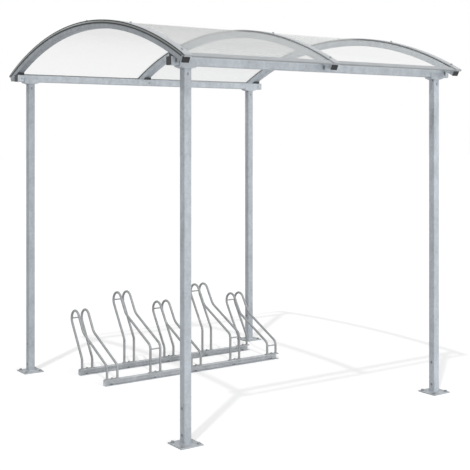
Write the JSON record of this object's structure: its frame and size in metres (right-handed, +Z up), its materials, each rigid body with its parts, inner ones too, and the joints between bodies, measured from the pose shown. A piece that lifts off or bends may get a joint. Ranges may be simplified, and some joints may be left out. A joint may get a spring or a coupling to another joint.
{
  "type": "bike shelter",
  "caption": "Open bike shelter: square tube posts and beams carry arched ribs and clear curved roof sheets over a ground-level bike rack with paired wheel hoops.",
  "frame": {"origin": "on the ground, at the middle of the four posts", "axes": "+Z up, +X along the beams, +Y from the front to the back, where the rack stands"},
  "size_m": [2.26, 2.4748, 2.5201],
  "materials": {
    "galvanised_steel": "hot-dip galvanised, dull with faint spangle",
    "aluminium": "mill finish, satin",
    "black_plastic": "moulded, matt",
    "black_rubber": "extruded, matt",
    "clear_plastic": "clear sheet, smooth and glossy"
  },
  "bodies": {
    "root": {"back_beam": "galvanised_steel", "back_beam_caps": "black_plastic", "back_left_base_plate": "galvanised_steel", "back_left_eave_trim": "aluminium", "back_left_post": "galvanised_steel", "back_left_post_head": "galvanised_steel", "back_rack_rail": "galvanised_steel", "back_right_base_plate": "galvanised_steel", "back_right_eave_trim": "aluminium", "back_right_post": "galvanised_steel", "back_right_post_head": "galvanised_steel", "front_beam": "galvanised_steel", "front_beam_caps": "black_plastic", "front_left_base_plate": "galvanised_steel", "front_left_eave_trim": "aluminium", "front_left_post": "galvanised_steel", "front_left_post_head": "galvanised_steel", "front_rack_rail": "galvanised_steel", "front_right_base_plate": "galvanised_steel", "front_right_eave_trim": "aluminium", "front_right_post": "galvanised_steel", "front_right_post_head": "galvanised_steel", "left_arch": "galvanised_steel", "left_arch_plugs": "black_plastic", "left_arch_wedges": "black_plastic", "left_clamping_strip": "aluminium", "left_gasket": "black_rubber", "left_roof_sheet": "clear_plastic", "middle_arch": "galvanised_steel", "middle_arch_plugs": "black_plastic", "middle_arch_wedges": "black_plastic", "middle_clamping_strip": "aluminium", "middle_gasket": "black_rubber", "rack_hoops_1": "galvanised_steel", "rack_hoops_2": "galvanised_steel", "rack_hoops_3": "galvanised_steel", "rack_hoops_4": "galvanised_steel", "rack_hoops_5": "galvanised_steel", "right_arch": "galvanised_steel", "right_arch_plugs": "black_plastic", "right_arch_wedges": "black_plastic", "right_clamping_strip": "aluminium", "right_gasket": "black_rubber", "right_roof_sheet": "clear_plastic"}
  },
  "joints": []
}
